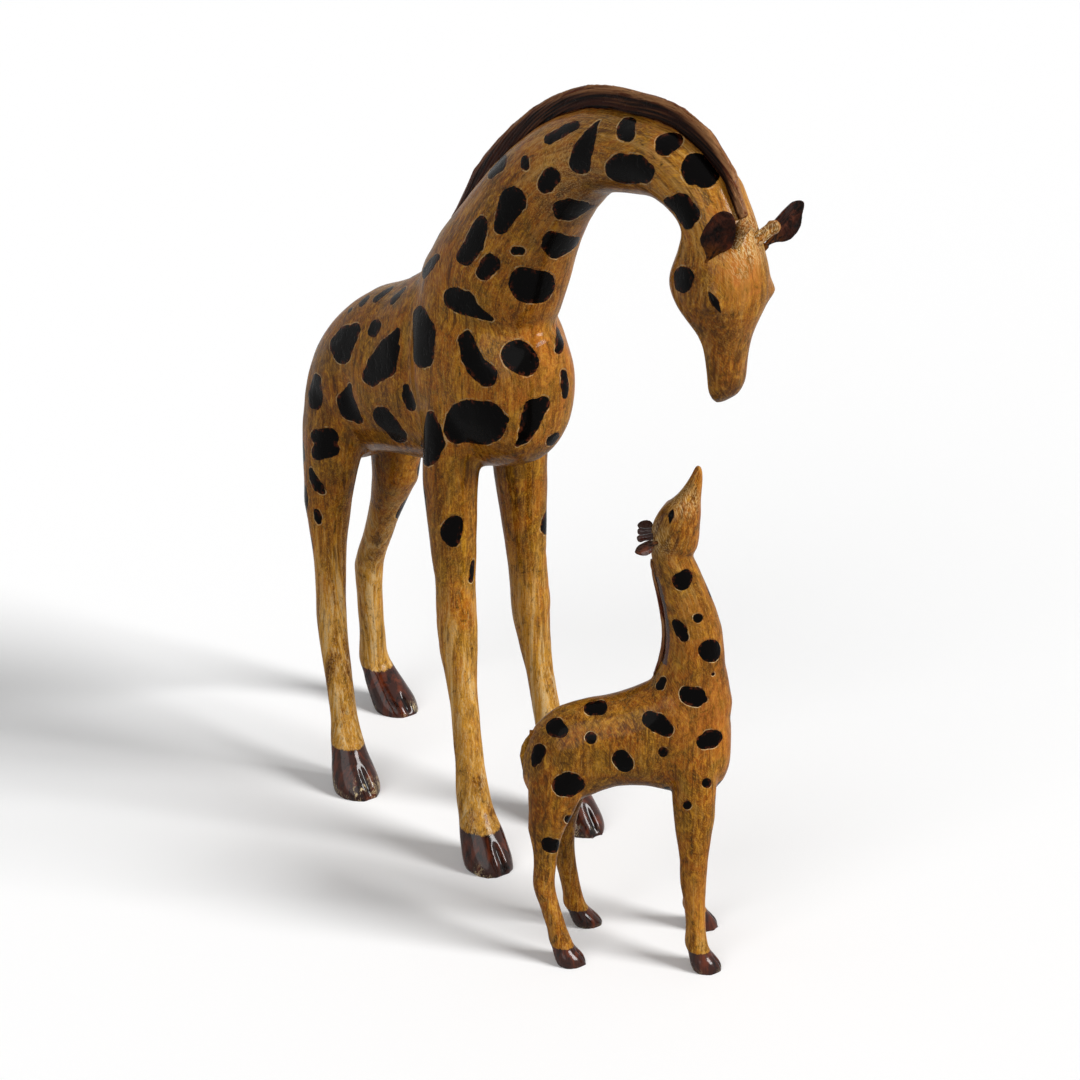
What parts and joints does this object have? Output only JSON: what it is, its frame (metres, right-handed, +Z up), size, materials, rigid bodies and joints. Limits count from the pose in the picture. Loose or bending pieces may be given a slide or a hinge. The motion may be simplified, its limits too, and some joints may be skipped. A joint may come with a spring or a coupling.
{
  "type": "carved giraffe statue",
  "caption": "Carved and painted wooden giraffe pair: a tall mother arches her long neck down over a small calf that looks up at her.",
  "frame": {"origin": "middle of the pair's outline on the ground, between the mother's front hooves and the calf", "axes": "+X is the mother's heading, +Y is her left, +Z is up; the soles stand on z = 0"},
  "size_m": [0.5327, 0.1767, 0.6029],
  "materials": {
    "ochre_paint": "semi-gloss lacquer over rubbed ochre paint with black spots and dark hooves",
    "dark_paint": "semi-gloss lacquer over dark red-brown paint",
    "bare_wood": "plain turned wood, hidden in the joints"
  },
  "bodies": {
    "root": {"mother_torso": "ochre_paint", "mother_neck": "ochre_paint", "mother_head": "ochre_paint", "mother_mane": "dark_paint", "mother_ear_left": "dark_paint", "mother_ear_right": "dark_paint", "mother_horn_left": "ochre_paint", "mother_horn_right": "ochre_paint", "mother_tail": "ochre_paint", "mother_leg_front_left": "ochre_paint", "mother_leg_front_right": "ochre_paint", "mother_leg_rear_left": "ochre_paint", "mother_leg_rear_right": "ochre_paint", "mother_leg_dowels": "bare_wood", "mother_neck_dowels": "bare_wood", "mother_head_dowel": "bare_wood", "calf_torso": "ochre_paint", "calf_neck": "ochre_paint", "calf_head": "ochre_paint", "calf_mane": "dark_paint", "calf_ear_left": "dark_paint", "calf_ear_right": "dark_paint", "calf_horn_left": "ochre_paint", "calf_horn_right": "ochre_paint", "calf_tail": "ochre_paint", "calf_leg_front_left": "ochre_paint", "calf_leg_front_right": "ochre_paint", "calf_leg_rear_left": "ochre_paint", "calf_leg_rear_right": "ochre_paint", "calf_leg_dowels": "bare_wood", "calf_neck_dowels": "bare_wood", "calf_head_dowel": "bare_wood"}
  },
  "joints": []
}
